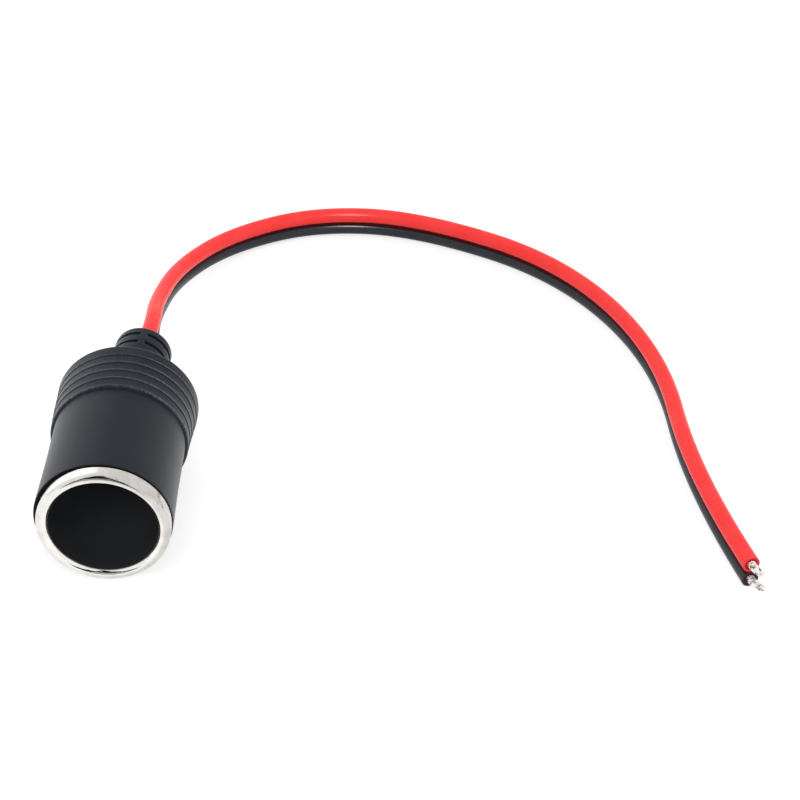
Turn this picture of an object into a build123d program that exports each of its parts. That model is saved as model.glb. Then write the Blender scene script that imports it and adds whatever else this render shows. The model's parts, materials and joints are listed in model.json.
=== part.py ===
"""Female 12 V power socket on a twin lead, lying on its side with its mouth towards -Y.

The body is modelled along its own axis: Y runs from the mouth (y = 0) to the back, X is right and Z is up.
It is then rolled a little about that axis, and tilted until its front edge and the rear edge of the collar
both touch the floor at z = 0. The lead leaves the strain relief, comes down to the floor and lies there on
its edge, red over black, leaning a little less towards its end.
"""

import os
from math import asin, atan2, copysign, cos, degrees, hypot, radians, sin, tan

from build123d import *

# Metal shell: a drawn tube, its mouth rolled outwards into a lip, its bottom stepped in as a seat
BORE_D = 21.0
SHEET = 0.5
LIP_ROLL_R = 1.3
LIP_LEG = 0.7
SEAT_STEP = 0.6
SEAT_SLOPE = 45.0
SEAT_GAP = 0.5
SEAT_CORNER_R = 0.5

# Front barrel: a plastic sleeve round the shell, stepped down at the rear where the boot goes over it
BARREL_WALL = 2.2
BARREL_EXPOSED = 24.9
BARREL_EDGE_R = 0.4
SPIGOT_WALL = 1.2
SPIGOT_LENGTH = 7.1
SHELL_CLEARANCE = 0.1

# Rear boot: ringed collar, shoulder and slotted strain relief, moulded in one piece
COLLAR_STEP = 0.65
COLLAR_FLARE = 0.6
COLLAR_REAR_R = 0.4
COLLAR_BACK_WALL = 2.9
RIDGE_PITCH = 2.5
RIDGE_WIDTH = 0.7
RIDGE_DEPTH = 0.2
SHOULDER_LAND = 0.8
SHOULDER_LEDGE = 1.0
BACK_WALL = 1.4
STRAIN_WALL = 2.2
STRAIN_LENGTH = 14.6
STRAIN_END_R = 0.7
SLOT_WIDTH = 0.85
SLOT_RING = 1.95
SLOT_END_RING = 2.0
SLOT_FLOOR_WALL = 0.55
SLOT_WEB = 1.5
BOOT_CLEARANCE = 0.05

# Room for the terminals behind the shell
CHAMBER_LEDGE = 0.4
CHAMBER_GAP = 1.8
NECK_GAP = 0.6

# Contact stack on the bottom of the shell
RIVET_SHANK_D = 3.0
RIVET_HEAD_LAP = 1.1
RIVET_HEAD_HEIGHT = 1.3
RIVET_TAIL_LAP = 0.8
RIVET_TAIL_HEIGHT = 0.9
RIVET_CLEARANCE = 0.05
CONTACT_LAND = 1.8
CONTACT_THICKNESS = 0.6
CONTACT_RIM = 0.9
INSULATOR_THICKNESS = 1.5
INSULATOR_BOSS_WALL = 1.8
INSULATOR_CLEARANCE = 0.15
WASHER_LAP = 1.0
WASHER_THICKNESS = 0.8

# Solder tags, their small rivet and the solder
TAG_SHEET = 0.6
TAG_WIDTH = 3.0
TAG_BEND_R = 0.4
TAG_RING_WALL = 1.7
TAG_END_GAP = 0.8
TAG_GAP = 0.3
TAG_MARGIN = 0.15
TAG_RIVET_SHANK_D = 1.8
TAG_RIVET_HEAD_D = 2.8
TAG_RIVET_HEAD_HEIGHT = 0.6
SOLDER_WALL = 0.5
SOLDER_LENGTH = 1.6
SOLDER_FILM = 0.15

# Twin lead: two insulated cores, stripped at both ends
CORE_D = 3.5
CORE_GAP = 0.1
LEAD_CLEARANCE = 0.1
LEAD_WEB = 1.6
CONDUCTOR_D = 1.9
CONDUCTOR_END_GAP = 0.6
CONDUCTOR_STRAIGHT = 0.8
CONDUCTOR_STEP = 1.4
CONDUCTOR_BEND_R = 1.15
STRIP_INSET = 1.5
BARE_STRAIGHT = 1.8
BARE_BENT = 2.9
BARE_TURN = (0.85, -0.5, -0.1)

# Radii from the bore outwards
BORE_R = BORE_D / 2
SHELL_R = BORE_R + SHEET
SEAT_R = BORE_R - SEAT_STEP
LIP_CENTRE_R = BORE_R + LIP_ROLL_R
BARREL_INNER_R = SHELL_R + SHELL_CLEARANCE
BARREL_R = BARREL_INNER_R + BARREL_WALL
SPIGOT_R = BARREL_INNER_R + SPIGOT_WALL
COLLAR_FRONT_R = BARREL_R + COLLAR_STEP
COLLAR_REAR_EDGE_R = COLLAR_FRONT_R + COLLAR_FLARE
CHAMBER_R = BARREL_INNER_R - CHAMBER_LEDGE

# Radii from the rivet outwards
SHANK_R = RIVET_SHANK_D / 2
SHANK_HOLE_R = SHANK_R + RIVET_CLEARANCE
RIVET_HEAD_R = SHANK_R + RIVET_HEAD_LAP
RIVET_TAIL_R = SHANK_R + RIVET_TAIL_LAP
CONTACT_R = RIVET_HEAD_R + CONTACT_LAND + CONTACT_THICKNESS
BOSS_R = SHANK_HOLE_R + INSULATOR_BOSS_WALL
SHELL_HOLE_R = BOSS_R + INSULATOR_CLEARANCE
WASHER_R = SHELL_HOLE_R + WASHER_LAP
TAG_RING_R = SHANK_R + TAG_RING_WALL

# Radii and heights from the lead outwards
CORE_R = CORE_D / 2
CONDUCTOR_R = CONDUCTOR_D / 2
CORE_SPACING = CORE_D + CORE_GAP
CORE_OFFSET = CORE_SPACING / 2
STRAIN_R = CORE_OFFSET + CORE_R + STRAIN_WALL
SLOT_FLOOR_R = CORE_OFFSET + CORE_R + SLOT_FLOOR_WALL
SHOULDER_R = STRAIN_R + SHOULDER_LEDGE
RED_TAB = CORE_OFFSET + CONDUCTOR_R + SOLDER_FILM
SHELL_TAB = WASHER_R + TAG_GAP
BLACK_CONDUCTOR = SHELL_TAB - SOLDER_FILM - CONDUCTOR_R
NECK_R = hypot(SHELL_TAB + TAG_SHEET, TAG_WIDTH / 2) + NECK_GAP
TAG_RIVET_OFFSET = SHELL_TAB + TAG_SHEET + TAG_BEND_R + TAG_RIVET_HEAD_D / 2 + RIVET_CLEARANCE
TAG_FOOT_END = TAG_RIVET_OFFSET + TAG_RIVET_HEAD_D / 2 + TAG_MARGIN

# Places along the axis, from the mouth to the bottom of the shell
LIP_DEPTH = LIP_ROLL_R + LIP_LEG
COLLAR_FRONT = LIP_DEPTH + BARREL_EXPOSED
BARREL_REAR = COLLAR_FRONT + SPIGOT_LENGTH
SHELL_FLOOR = BARREL_REAR - SHEET
INSULATOR_FRONT = SHELL_FLOOR - INSULATOR_THICKNESS
CONTACT_FRONT = INSULATOR_FRONT - CONTACT_THICKNESS
RIVET_TIP = CONTACT_FRONT - RIVET_HEAD_HEIGHT
SEAT_START = RIVET_TIP - SEAT_GAP

# Places along the axis, from the bottom of the shell to the end of the strain relief
WASHER_REAR = BARREL_REAR + WASHER_THICKNESS
TAG_REAR = WASHER_REAR + TAG_SHEET
RIVET_END = TAG_REAR + RIVET_TAIL_HEIGHT
CONDUCTOR_TIP = RIVET_END + CONDUCTOR_END_GAP
SOLDER_END = CONDUCTOR_TIP + SOLDER_LENGTH
LEAD_START = SOLDER_END + 2 * CONDUCTOR_STRAIGHT + CONDUCTOR_STEP
TAB_END = LEAD_START - TAG_END_GAP
CHAMBER_STEP = BARREL_REAR + TAG_SHEET + TAG_RIVET_HEAD_HEIGHT + CHAMBER_GAP
CHAMBER_END = LEAD_START + STRIP_INSET
COLLAR_BACK = CHAMBER_STEP + COLLAR_BACK_WALL
STRAIN_START = CHAMBER_END + BACK_WALL
BODY_LENGTH = STRAIN_START + STRAIN_LENGTH

# Lead route: a level bend inside the strain relief, a run down to the floor and a loose arc on it.
# Each place gives how far right, how far back, how high above the floor and by how much the pair leans.
ROLL = 8.5
STRAIN_BEND_SHARE = 0.11
ARC_SHARE = 0.45
FIRST_RUN_SIDE = 2.1
FIRST_RUN_BACK = 20.0
FIRST_RUN = Vector(FIRST_RUN_SIDE * cos(radians(ROLL)), FIRST_RUN_BACK, FIRST_RUN_SIDE * sin(radians(ROLL)))
BEND_PLACE = STRAIN_START + STRAIN_BEND_SHARE * STRAIN_LENGTH
FLOOR_GAP = 0.02
ROUTE = [
    (0.5, 52.0, 7.7, 12),
    (2.5, 75.0, 3.1, 14),
    (13.0, 94.5, 0.6, 13),
    (33.0, 106.5, 0, 11),
    (58.5, 104.5, 0, 9),
    (92.5, 84.5, 0, 8),
    (113.0, 47.5, 0, 6),
    (116.5, 0.5, 0, 5),
    (125.5, -28.0, 0, 3),
]


def collar_radius(y):
    """Radius of the collar's cone at a place along the axis."""
    share = (y - COLLAR_FRONT) / (COLLAR_BACK - COLLAR_FRONT)
    return COLLAR_FRONT_R + COLLAR_FLARE * share


def floor_tangent(front, rear):
    """Tilt at which two round edges touch one floor. An edge is a radius, a place along and a rounding."""
    rise = rear[0] - front[0]
    along = rear[1] - front[1]
    return atan2(rise, along) + asin((rear[2] - front[2]) / hypot(rise, along))


LIP_EDGE = (LIP_CENTRE_R, LIP_ROLL_R, LIP_ROLL_R)
BARREL_EDGE = (BARREL_R - BARREL_EDGE_R, LIP_DEPTH + BARREL_EDGE_R, BARREL_EDGE_R)
CONE_ANGLE = atan2(COLLAR_FLARE, COLLAR_BACK - COLLAR_FRONT)
REAR_EDGE_Y = COLLAR_BACK - COLLAR_REAR_R
REAR_EDGE = (collar_radius(REAR_EDGE_Y) - COLLAR_REAR_R / cos(CONE_ANGLE), REAR_EDGE_Y, COLLAR_REAR_R)

# The body rests on the lip or on the barrel's front edge, whichever stands out further
TILT = min(floor_tangent(edge, REAR_EDGE) for edge in (LIP_EDGE, BARREL_EDGE))
MOUTH_HEIGHT = REAR_EDGE[0] * cos(TILT) + REAR_EDGE[2] - REAR_EDGE[1] * sin(TILT)
PLACE = Pos(0, -BODY_LENGTH / 2, MOUTH_HEIGHT) * Rot(degrees(TILT), 0, 0) * Rot(0, ROLL, 0)


def turned(*edges):
    """Solid of revolution about the body's axis. The edges close half a section, radius along X."""
    return revolve(make_face(edges), Axis.Y)


def rod(radius, start, end, height=0.0):
    """Round bar along the body's axis."""
    middle = Pos(0, (start + end) / 2, height)
    return middle * Rot(90, 0, 0) * Cylinder(radius, end - start)


def dome(radius, base, tip):
    """Arc of a rounded rivet head, part of a ball, from its rim at the base to its tip on the axis."""
    height = tip - base
    ball = (radius**2 + height**2) / (2 * height)
    half_turn = asin(radius / abs(ball)) / 2
    middle = (abs(ball) * sin(half_turn), tip - ball * (1 - cos(half_turn)))
    return ThreePointArc((radius, base), middle, (0, tip))


def tag_rivet_hole(start, end):
    """Hole for the small rivet of the shell tag."""
    return rod(TAG_RIVET_SHANK_D / 2 + RIVET_CLEARANCE, start, end, -TAG_RIVET_OFFSET)


def shank_hole(start, end):
    """Hole for the shank of the centre rivet."""
    return rod(SHANK_HOLE_R, start, end)


def socket_shell():
    """Drawn tube with a rolled lip at the mouth and a stepped bottom with a hole for the contact."""
    lip_r = LIP_CENTRE_R + LIP_ROLL_R
    inner_roll = LIP_ROLL_R - SHEET
    seat_end = SEAT_START + SEAT_STEP / tan(radians(SEAT_SLOPE))
    sheet_shift = SHEET * tan(radians(SEAT_SLOPE) / 2)
    corner_r = SEAT_R - SEAT_CORNER_R
    corner_y = SHELL_FLOOR - SEAT_CORNER_R
    shell = turned(
        ThreePointArc((BORE_R, LIP_ROLL_R), (LIP_CENTRE_R, 0), (lip_r, LIP_ROLL_R)),
        Line((lip_r, LIP_ROLL_R), (lip_r, LIP_DEPTH)),
        Line((lip_r, LIP_DEPTH), (lip_r - SHEET, LIP_DEPTH)),
        Line((lip_r - SHEET, LIP_DEPTH), (lip_r - SHEET, LIP_ROLL_R)),
        ThreePointArc(
            (lip_r - SHEET, LIP_ROLL_R), (LIP_CENTRE_R, LIP_ROLL_R - inner_roll), (SHELL_R, LIP_ROLL_R)
        ),
        Line((SHELL_R, LIP_ROLL_R), (SHELL_R, SEAT_START + sheet_shift)),
        Line((SHELL_R, SEAT_START + sheet_shift), (SEAT_R + SHEET, seat_end + sheet_shift)),
        Line((SEAT_R + SHEET, seat_end + sheet_shift), (SEAT_R + SHEET, corner_y)),
        CenterArc((corner_r, corner_y), SEAT_CORNER_R + SHEET, 0, 90),
        Line((corner_r, BARREL_REAR), (SHELL_HOLE_R, BARREL_REAR)),
        Line((SHELL_HOLE_R, BARREL_REAR), (SHELL_HOLE_R, SHELL_FLOOR)),
        Line((SHELL_HOLE_R, SHELL_FLOOR), (corner_r, SHELL_FLOOR)),
        CenterArc((corner_r, corner_y), SEAT_CORNER_R, 0, 90),
        Line((SEAT_R, corner_y), (SEAT_R, seat_end)),
        Line((SEAT_R, seat_end), (BORE_R, SEAT_START)),
        Line((BORE_R, SEAT_START), (BORE_R, LIP_ROLL_R)),
    )
    return shell - tag_rivet_hole(SHELL_FLOOR, BARREL_REAR)


def front_barrel():
    """Plastic sleeve behind the lip, with a softened front edge and a spigot for the boot."""
    edge_r = BARREL_R - BARREL_EDGE_R
    edge_y = LIP_DEPTH + BARREL_EDGE_R
    return turned(
        Line((BARREL_INNER_R, LIP_DEPTH), (edge_r, LIP_DEPTH)),
        CenterArc((edge_r, edge_y), BARREL_EDGE_R, -90, 90),
        Line((BARREL_R, edge_y), (BARREL_R, COLLAR_FRONT)),
        Line((BARREL_R, COLLAR_FRONT), (SPIGOT_R, COLLAR_FRONT)),
        Line((SPIGOT_R, COLLAR_FRONT), (SPIGOT_R, BARREL_REAR)),
        Line((SPIGOT_R, BARREL_REAR), (BARREL_INNER_R, BARREL_REAR)),
        Line((BARREL_INNER_R, BARREL_REAR), (BARREL_INNER_R, LIP_DEPTH)),
    )


def collar_outline():
    """Outer half section of the collar: raised ridges with shallow flats between them."""
    points = []
    ridges = int((COLLAR_BACK - COLLAR_REAR_R - COLLAR_FRONT - RIDGE_WIDTH) / RIDGE_PITCH)
    for ridge in range(ridges):
        start = COLLAR_FRONT + ridge * RIDGE_PITCH
        end = start + RIDGE_WIDTH
        if ridge == 0:
            points.append((collar_radius(start), start))
        points.append((collar_radius(end), end))
        points.append((collar_radius(end + RIDGE_DEPTH) - RIDGE_DEPTH, end + RIDGE_DEPTH))
        rise = start + RIDGE_PITCH
        points.append((collar_radius(rise - RIDGE_DEPTH) - RIDGE_DEPTH, rise - RIDGE_DEPTH))
        points.append((collar_radius(rise), rise))
    points.append((collar_radius(COLLAR_BACK), COLLAR_BACK))
    return points


def strain_path():
    """Middle line of the strain relief: it starts along the axis and bends to the right with the lead."""
    start = Vector(0, LEAD_START, 0)
    bend = Vector(0, BEND_PLACE, 0)
    end = bend + FIRST_RUN * ((BODY_LENGTH - BEND_PLACE) / FIRST_RUN_BACK)
    return FilletPolyline(start, bend, end, radius=bend_radius(start, bend, bend + FIRST_RUN))


def bend_radius(before, corner, after):
    """Largest even arc that two runs of a lead allow."""
    first = corner - before
    second = after - corner
    half_turn = radians(first.get_angle(second)) / 2
    return ARC_SHARE * min(first.length, second.length) / tan(half_turn)


def strain_slots(path):
    """Rows of slots round the strain relief, left open on both sides of a web above and below."""
    ring = Circle(2 * STRAIN_R) - Circle(SLOT_FLOOR_R) - Rectangle(SLOT_WEB, 4 * STRAIN_R)
    pitch = SLOT_WIDTH + SLOT_RING
    slots = []
    for row in range(int((STRAIN_LENGTH - SLOT_END_RING) / pitch)):
        back = SLOT_END_RING + row * pitch + SLOT_WIDTH
        at = path.position_at(path.length - back, position_mode=PositionMode.LENGTH)
        along = path.tangent_at(path.length - back, position_mode=PositionMode.LENGTH)
        across = Plane(at, x_dir=along.cross(Vector(0, 0, 1)), z_dir=along)
        slots += extrude(across * ring, SLOT_WIDTH).solids()
    return slots


def rear_boot():
    """Soft boot: ringed collar over the spigot, sloping shoulder and slotted strain relief."""
    outline = collar_outline()
    spigot = SPIGOT_R + BOOT_CLEARANCE
    section = make_face(
        Polyline(
            (spigot, COLLAR_FRONT),
            *outline,
            (COLLAR_REAR_EDGE_R - COLLAR_REAR_R - SHOULDER_LAND, COLLAR_BACK),
            (SHOULDER_R, STRAIN_START),
            (0, STRAIN_START),
            (0, CHAMBER_END),
            (NECK_R, CHAMBER_END),
            (NECK_R, CHAMBER_STEP),
            (CHAMBER_R, CHAMBER_STEP),
            (CHAMBER_R, BARREL_REAR),
            (spigot, BARREL_REAR),
            close=True,
        )
    )
    rear_corner = section.vertices().sort_by_distance((*outline[-1], 0))[0]
    boot = revolve(fillet(rear_corner, COLLAR_REAR_R), Axis.Y)

    path = strain_path()
    mouth = Plane(path @ 0, x_dir=(1, 0, 0), z_dir=path % 0)
    relief = sweep(mouth * Circle(STRAIN_R), path=path)
    rim = relief.edges().filter_by(GeomType.CIRCLE).sort_by_distance(path @ 1)[0]
    relief = fillet(rim, STRAIN_END_R)
    front = Pos(0, CHAMBER_END - BODY_LENGTH, 0) * Box(4 * STRAIN_R, 2 * BODY_LENGTH, 4 * STRAIN_R)
    pair = [Pos(0, side * CORE_OFFSET) * Circle(CORE_R + LEAD_CLEARANCE) for side in (1, -1)]
    hole = sweep(mouth * (pair[0] + pair[1] + Rectangle(LEAD_WEB, CORE_SPACING)), path=path)
    return boot + (relief - front) - hole - strain_slots(path)


def contact_insulator():
    """Shouldered insulating disc in the bottom of the shell, with its boss in the shell's hole."""
    rim = SEAT_R - INSULATOR_CLEARANCE
    disc = turned(
        Polyline(
            (SHANK_HOLE_R, INSULATOR_FRONT),
            (rim, INSULATOR_FRONT),
            (rim, SHELL_FLOOR - SEAT_CORNER_R),
            (rim - SEAT_CORNER_R, SHELL_FLOOR),
            (BOSS_R, SHELL_FLOOR),
            (BOSS_R, BARREL_REAR),
            (SHANK_HOLE_R, BARREL_REAR),
            close=True,
        )
    )
    pocket_r = TAG_RIVET_HEAD_D / 2 + INSULATOR_CLEARANCE
    pocket_floor = SHELL_FLOOR - TAG_RIVET_HEAD_HEIGHT - INSULATOR_CLEARANCE
    return disc - rod(pocket_r, pocket_floor, SHELL_FLOOR, -TAG_RIVET_OFFSET)


def centre_contact():
    """Pressed contact cup: a disc with its rim turned up towards the mouth."""
    rim_y = CONTACT_FRONT - CONTACT_RIM
    rim_inner = CONTACT_R - CONTACT_THICKNESS
    return turned(
        Polyline(
            (SHANK_HOLE_R, INSULATOR_FRONT),
            (CONTACT_R, INSULATOR_FRONT),
            (CONTACT_R, rim_y),
            (rim_inner, rim_y),
            (rim_inner, CONTACT_FRONT),
            (SHANK_HOLE_R, CONTACT_FRONT),
            close=True,
        )
    )


def centre_rivet():
    """Rivet through the whole stack, with a domed head for the plug's tip to press on."""
    return turned(
        dome(RIVET_HEAD_R, CONTACT_FRONT, RIVET_TIP),
        Line((RIVET_HEAD_R, CONTACT_FRONT), (SHANK_R, CONTACT_FRONT)),
        Line((SHANK_R, CONTACT_FRONT), (SHANK_R, TAG_REAR)),
        Line((SHANK_R, TAG_REAR), (RIVET_TAIL_R, TAG_REAR)),
        dome(RIVET_TAIL_R, TAG_REAR, RIVET_END),
        Line((0, RIVET_END), (0, RIVET_TIP)),
    )


def rear_washer():
    """Insulating washer between the shell's bottom and the centre tag."""
    return rod(WASHER_R, BARREL_REAR, WASHER_REAR) - shank_hole(BARREL_REAR, WASHER_REAR)


def folded_tag(front, foot_end, outside, inside):
    """Strip folded once: a foot across the body's axis, and a tab along it between two heights."""
    rear = front + TAG_SHEET
    section = make_face(
        Polyline(
            (front, outside),
            (TAB_END, outside),
            (TAB_END, inside),
            (rear, inside),
            (rear, foot_end),
            (front, foot_end),
            close=True,
        )
    )
    inner_corner = section.vertices().sort_by_distance((rear, inside, 0))[0]
    section = fillet(inner_corner, TAG_BEND_R)
    outer_corner = section.vertices().sort_by_distance((front, outside, 0))[0]
    section = fillet(outer_corner, TAG_BEND_R + TAG_SHEET)
    return extrude(Plane.YZ * section, TAG_WIDTH / 2, both=True)


def centre_tag():
    """Solder tag on the rivet: a ring with a tab folded back above the red conductor."""
    ring = rod(TAG_RING_R, WASHER_REAR, TAG_REAR)
    strip = folded_tag(WASHER_REAR, 0, RED_TAB + TAG_SHEET, RED_TAB)
    return ring + strip - shank_hole(WASHER_REAR, TAG_REAR)


def shell_tag():
    """Solder tag on the shell's bottom, with its tab folded back below the black conductor."""
    strip = folded_tag(BARREL_REAR, TAG_FOOT_END, SHELL_TAB, SHELL_TAB + TAG_SHEET)
    return Rot(0, 180, 0) * strip - tag_rivet_hole(BARREL_REAR, BARREL_REAR + TAG_SHEET)


def tag_rivet():
    """Small rivet that holds the shell tag on the bottom of the shell."""
    outside = BARREL_REAR + TAG_SHEET
    shank = TAG_RIVET_SHANK_D / 2
    head = TAG_RIVET_HEAD_D / 2
    inner_tip = SHELL_FLOOR - TAG_RIVET_HEAD_HEIGHT
    outer_tip = outside + TAG_RIVET_HEAD_HEIGHT
    rivet = turned(
        dome(head, SHELL_FLOOR, inner_tip),
        Line((head, SHELL_FLOOR), (shank, SHELL_FLOOR)),
        Line((shank, SHELL_FLOOR), (shank, outside)),
        Line((shank, outside), (head, outside)),
        dome(head, outside, outer_tip),
        Line((0, outer_tip), (0, inner_tip)),
    )
    return Pos(0, 0, -TAG_RIVET_OFFSET) * rivet


def black_conductor():
    """Stripped black conductor: it steps down from the lead to the tab of the shell tag."""
    path = FilletPolyline(
        (0, LEAD_START, -CORE_OFFSET),
        (0, LEAD_START - CONDUCTOR_STRAIGHT, -CORE_OFFSET),
        (0, SOLDER_END + CONDUCTOR_STRAIGHT, -BLACK_CONDUCTOR),
        (0, CONDUCTOR_TIP, -BLACK_CONDUCTOR),
        radius=CONDUCTOR_BEND_R,
    )
    start = Plane(path @ 0, x_dir=(1, 0, 0), z_dir=path % 0)
    return sweep(start * Circle(CONDUCTOR_R), path=path)


def solder(height, tab_face):
    """Bead of solder round a conductor, cut flat where it wets the tab."""
    outer = CONDUCTOR_R + SOLDER_WALL
    bead = rod(outer, CONDUCTOR_TIP, SOLDER_END, height)
    core = rod(CONDUCTOR_R, CONDUCTOR_TIP, SOLDER_END, height)
    beyond = tab_face + copysign(outer, tab_face)
    return bead - core - Pos(0, CONDUCTOR_TIP, beyond) * Box(4 * outer, 4 * SOLDER_LENGTH, 2 * outer)


def lead_points(side):
    """Route of one core, beside the pair's middle. Side is 1 for the upper core and -1 for the lower one."""
    offset = side * CORE_OFFSET
    start = Vector(0, LEAD_START, 0)
    bend = Vector(0, BEND_PLACE, 0)
    middle = [(PLACE * Pos(*place)).position for place in (start, bend, bend + FIRST_RUN)]
    leans = [ROLL]
    for right, back, lift, lean in ROUTE:
        middle.append(Vector(right, back, FLOOR_GAP + lift + CORE_R + CORE_OFFSET * cos(radians(lean))))
        leans.append(lean)
    runs = [(after - before).normalized() for before, after in zip(middle, middle[1:])]
    points = [(PLACE * Pos(0, place.Y, offset)).position for place in (start, bend)]
    for place, lean, before, after in zip(middle[2:], leans, runs[1:], [*runs[2:], runs[-1]]):
        along = (before + after).normalized()
        across = along.cross(Vector(0, 0, 1)).normalized()
        beside = across * sin(radians(lean)) + across.cross(along) * cos(radians(lean))
        points.append(place + beside * (offset / cos(asin(beside.dot(after)))))
    return points


def lead(side):
    """One insulated core along its route, made of straight runs joined by even arcs."""
    points = lead_points(side)
    radii = [bend_radius(*points[i - 1:i + 2]) for i in range(1, len(points) - 1)]
    path = FilletPolyline(*points, radius=radii)
    start = Plane(path @ 0, z_dir=path % 0)
    tube = sweep(start * Circle(CORE_R), path=path)
    ideal = path.length * Circle(CORE_R).area
    print("lead radii", [round(radius, 1) for radius in radii])
    print("lead length %.1f volume %.1f of %.1f" % (path.length, tube.volume, ideal))
    return tube


def bare_end(side):
    """Tinned end of a core: straight out of the insulation, then bent to the right."""
    before, end = lead_points(side)[-2:]
    along = (end - before).normalized()
    corner = end + along * BARE_STRAIGHT
    tip = corner + Vector(*BARE_TURN).normalized() * BARE_BENT
    path = FilletPolyline(end, corner, tip, radius=bend_radius(end, corner, tip))
    return sweep(Plane(end, z_dir=along) * Circle(CONDUCTOR_R), path=path)


BODY_PIECES = {
    "socket_shell": socket_shell(),
    "front_barrel": front_barrel(),
    "rear_boot": rear_boot(),
    "contact_insulator": contact_insulator(),
    "centre_contact": centre_contact(),
    "centre_rivet": centre_rivet(),
    "rear_washer": rear_washer(),
    "centre_tag": centre_tag(),
    "shell_tag": shell_tag(),
    "tag_rivet": tag_rivet(),
    "red_conductor": rod(CONDUCTOR_R, CONDUCTOR_TIP, LEAD_START, CORE_OFFSET),
    "black_conductor": black_conductor(),
    "centre_solder": solder(CORE_OFFSET, RED_TAB),
    "shell_solder": solder(-BLACK_CONDUCTOR, -SHELL_TAB),
}
LEAD_PIECES = {
    "red_core": lead(1),
    "black_core": lead(-1),
    "red_bare_end": bare_end(1),
    "black_bare_end": bare_end(-1),
}

os.makedirs("parts", exist_ok=True)
for name, piece in BODY_PIECES.items():
    export_step(PLACE * piece, f"parts/{name}.step")
for name, piece in LEAD_PIECES.items():
    export_step(piece, f"parts/{name}.step")
print("tilt %.3f degrees, mouth %.3f mm above the floor" % (degrees(TILT), MOUTH_HEIGHT))
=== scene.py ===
# %% [markdown]
# # A 12 V power socket on a twin lead
#
# This lesson dresses a small car accessory: a round socket with a bright metal lip, a dark plastic barrel,
# a ringed soft boot with a slotted strain relief, and a red and black twin lead with stripped ends.
# The CAD model gives every piece its true size and place. Here the pieces that show get smoother surfaces,
# and every surface gets a finish made of shader nodes.

import json
import math

import bpy
import numpy as np
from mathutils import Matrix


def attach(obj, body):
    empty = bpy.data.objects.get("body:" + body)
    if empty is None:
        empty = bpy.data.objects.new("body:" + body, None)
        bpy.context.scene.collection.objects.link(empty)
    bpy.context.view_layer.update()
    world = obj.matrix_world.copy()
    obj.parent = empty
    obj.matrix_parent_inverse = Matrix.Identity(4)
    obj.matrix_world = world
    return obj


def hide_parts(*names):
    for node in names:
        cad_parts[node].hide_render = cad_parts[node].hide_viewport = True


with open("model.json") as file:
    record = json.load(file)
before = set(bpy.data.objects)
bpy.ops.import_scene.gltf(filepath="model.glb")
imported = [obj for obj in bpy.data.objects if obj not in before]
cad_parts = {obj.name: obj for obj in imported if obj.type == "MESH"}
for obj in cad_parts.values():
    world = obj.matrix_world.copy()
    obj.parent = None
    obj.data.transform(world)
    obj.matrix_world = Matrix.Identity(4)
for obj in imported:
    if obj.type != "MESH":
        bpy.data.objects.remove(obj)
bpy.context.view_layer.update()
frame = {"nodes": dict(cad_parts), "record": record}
nodes = frame["nodes"]
print("CAD nodes:", ", ".join(sorted(nodes)))

# %% [markdown]
# ## The body's own axis
#
# The socket lies on its side, and its bore rises a little towards the back. The record knows the bore as a
# mount, with its axis and the middle of its wall, so the body's frame is read from there and not typed in
# again. A point of the body is then given by how far it is to the right, along the bore and above its axis.

# %% Read the bore from the record
MM = 0.001
LIP_ROLL_R = 1.3 * MM

bore = next(mount for mount in frame["record"]["mounts"] if mount["name"] == "plug_bore")
BORE_R = bore["dims"]["r_mm"] * MM
BORE_LENGTH = bore["dims"]["length_mm"] * MM
ALONG = -np.array(bore["axis"]) / np.linalg.norm(bore["axis"])
RIGHT = np.array([1.0, 0.0, 0.0])
UP = np.cross(RIGHT, ALONG)
MOUTH = np.array(bore["pos_m"]) - ALONG * (LIP_ROLL_R + BORE_LENGTH / 2)
TILT = math.atan2(ALONG[2], ALONG[1])


def on_body(right, along, above):
    """Place in the scene: the mouth's middle, plus each distance times its direction."""
    across = MOUTH + np.multiply.outer(right, RIGHT)
    return across + np.multiply.outer(along, ALONG) + np.multiply.outer(above, UP)


print("bore rises %.2f degrees, mouth %.2f mm above the floor" % (math.degrees(TILT), MOUTH[2] / MM))

# %% [markdown]
# ## Shader sums that read like sums
#
# A finish is mostly arithmetic on places and noise. Wrapping a socket in a small class lets a sum be written
# as a sum: each operator adds the Math node that does it. Every other kind of node comes from one method.

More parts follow.
